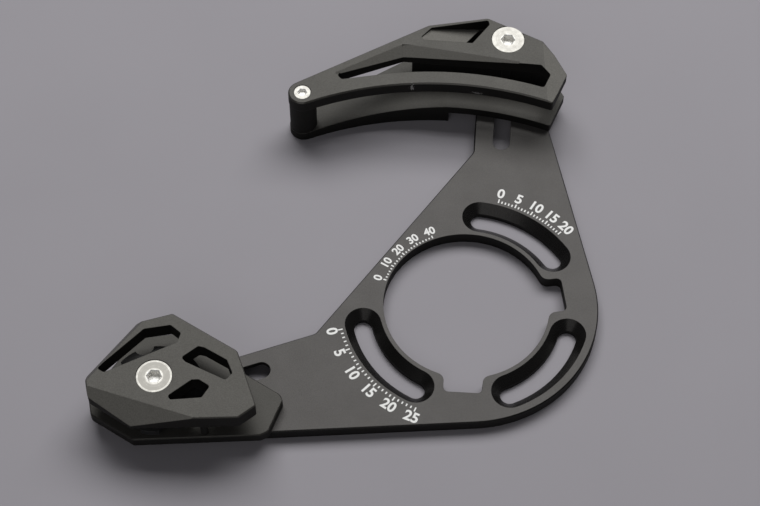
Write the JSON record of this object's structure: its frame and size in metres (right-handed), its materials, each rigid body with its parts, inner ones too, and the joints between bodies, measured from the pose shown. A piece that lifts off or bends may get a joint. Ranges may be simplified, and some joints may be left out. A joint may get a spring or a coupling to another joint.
{
  "type": "bicycle chain guide",
  "caption": "Flat bicycle chain guide plate with curved mounting slots, a two-cheek upper guide on a straight slot and a lower guide with a toothed idler pulley on another.",
  "frame": {"origin": "on the axis of the round bore, at the plate's back face, which lies against the bicycle frame", "axes": "+Z along the bore, away from the bicycle; +Y along the upper guide's slot, towards that guide; +X completes the set, forwards on the bicycle"},
  "size_m": [0.1692, 0.1761, 0.0226],
  "materials": {
    "plate_metal": "bead-blasted and anodised dark grey",
    "guide_plastic": "fine matt moulded dark grey",
    "bright_steel": "bright plated",
    "bare_aluminium": "turned",
    "brass": "turned",
    "bearing_steel": "ground and polished",
    "shield_rubber": "smooth seal",
    "pulley_plastic": "moulded black"
  },
  "bodies": {
    "plate": {"backplate": "plate_metal"},
    "upper_guide": {"upper_inner_cheek": "guide_plastic", "upper_outer_cheek": "guide_plastic", "upper_guide_bolt": "bright_steel", "upper_slot_nut": "bright_steel", "upper_sleeve": "bare_aluminium", "pillar_screw": "bright_steel", "pillar_insert": "brass"},
    "lower_guide": {"lower_inner_plate": "guide_plastic", "lower_outer_plate": "guide_plastic", "lower_guide_bolt": "bright_steel", "lower_slot_nut": "bright_steel", "lower_post": "guide_plastic", "pulley_spacer_inner": "bare_aluminium", "pulley_spacer_outer": "bare_aluminium", "bearing_inner_race": "bearing_steel"},
    "pulley": {"pulley_wheel": "pulley_plastic", "bearing_outer_race": "bearing_steel", "bearing_ball_row": "bearing_steel", "bearing_shield_inner": "shield_rubber", "bearing_shield_outer": "shield_rubber"}
  },
  "joints": [
    {"name": "upper_guide_slide", "type": "slide", "parent": "plate", "child": "upper_guide", "axis": [0, 1, 0], "range_m": [-0.026, 0.0012]},
    {"name": "lower_guide_slide", "type": "slide", "parent": "plate", "child": "lower_guide", "axis": [0.9178, 0.3972, 0], "range_m": [-0.0012, 0.024]},
    {"name": "pulley_spin", "type": "hinge", "parent": "lower_guide", "child": "pulley", "pos_m": [-0.10074, -0.04552, 0.0127], "axis": [0, 0, 1], "continuous": true}
  ]
}
